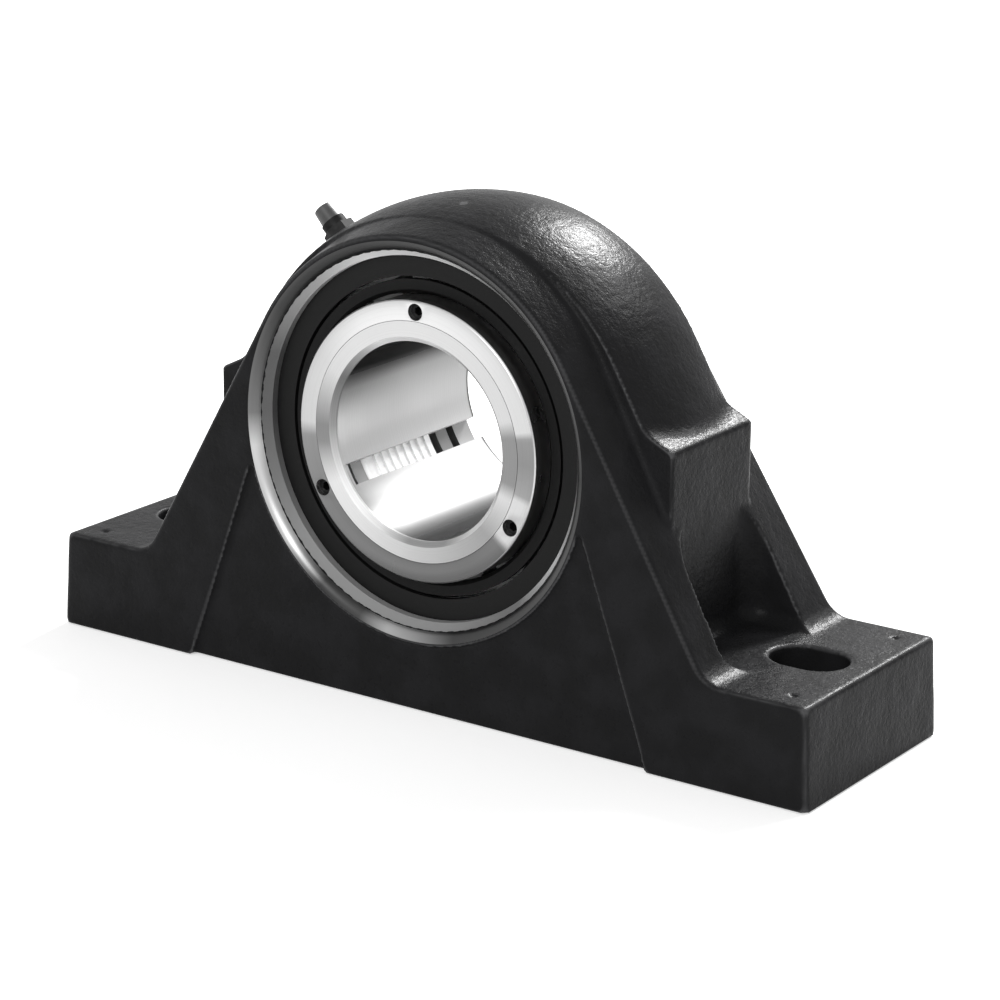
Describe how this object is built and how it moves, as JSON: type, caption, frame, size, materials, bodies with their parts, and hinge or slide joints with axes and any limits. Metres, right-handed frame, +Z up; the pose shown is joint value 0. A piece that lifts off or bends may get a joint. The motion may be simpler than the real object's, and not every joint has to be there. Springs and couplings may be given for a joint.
{
  "type": "pillow block bearing",
  "caption": "Cast pillow block housing with a self-aligning roller bearing and a split sleeve that a front collar clamps to the shaft; slotted feet.",
  "frame": {"origin": "middle of the underside of the foot, on the mounting surface", "axes": "+X along the foot, +Y along the shaft from the collar side to the rear, +Z up"},
  "size_m": [0.272, 0.077, 0.1503],
  "materials": {
    "black_casting": "semi-gloss black paint over fine sand-cast grain",
    "turned_steel": "fine turned and honed, bright",
    "ground_steel": "ground bearing steel",
    "sheet_steel": "pressed sheet, brown with grease",
    "spring_steel": "phosphated",
    "black_oxide": "black oxide",
    "seal_rubber": "smooth moulded nitrile",
    "zinc_plate": "dull dark plating",
    "cap_plastic": "satin grey moulded plastic"
  },
  "bodies": {
    "housing": {"housing": "black_casting", "outer_ring": "ground_steel", "snap_ring": "spring_steel", "front_seal": "seal_rubber", "rear_seal": "seal_rubber", "grease_nipple": "zinc_plate", "nipple_cap": "cap_plastic"},
    "seal_lips": {"front_seal_lip": "seal_rubber", "rear_seal_lip": "seal_rubber"},
    "guide": {"guide_ring": "ground_steel"},
    "shaft_set": {"inner_ring": "ground_steel", "clamping_sleeve": "turned_steel", "mounting_collar": "turned_steel", "grub_screws": "black_oxide", "thrust_ring": "turned_steel", "stop_ring": "spring_steel", "land_ring": "turned_steel"},
    "roller_set": {"front_rollers": "ground_steel", "rear_rollers": "ground_steel", "front_cage": "sheet_steel", "rear_cage": "sheet_steel"}
  },
  "joints": [
    {"name": "align_pitch", "type": "hinge", "parent": "housing", "child": "seal_lips", "pos_m": [0, 0, 0.082], "axis": [1, 0, 0], "range_deg": [-1.5, 1.5]},
    {"name": "align_yaw", "type": "hinge", "parent": "seal_lips", "child": "guide", "pos_m": [0, 0, 0.082], "axis": [0, 0, 1], "range_deg": [-1.5, 1.5]},
    {"name": "shaft_spin", "type": "hinge", "parent": "guide", "child": "shaft_set", "pos_m": [0, 0, 0.082], "axis": [0, 1, 0], "continuous": true},
    {"name": "cage_orbit", "type": "hinge", "parent": "guide", "child": "roller_set", "pos_m": [0, 0, 0.082], "axis": [0, 1, 0], "continuous": true}
  ],
  "couplings": [
    {"joint": "cage_orbit", "follows": "shaft_spin", "ratio": 0.4286}
  ]
}
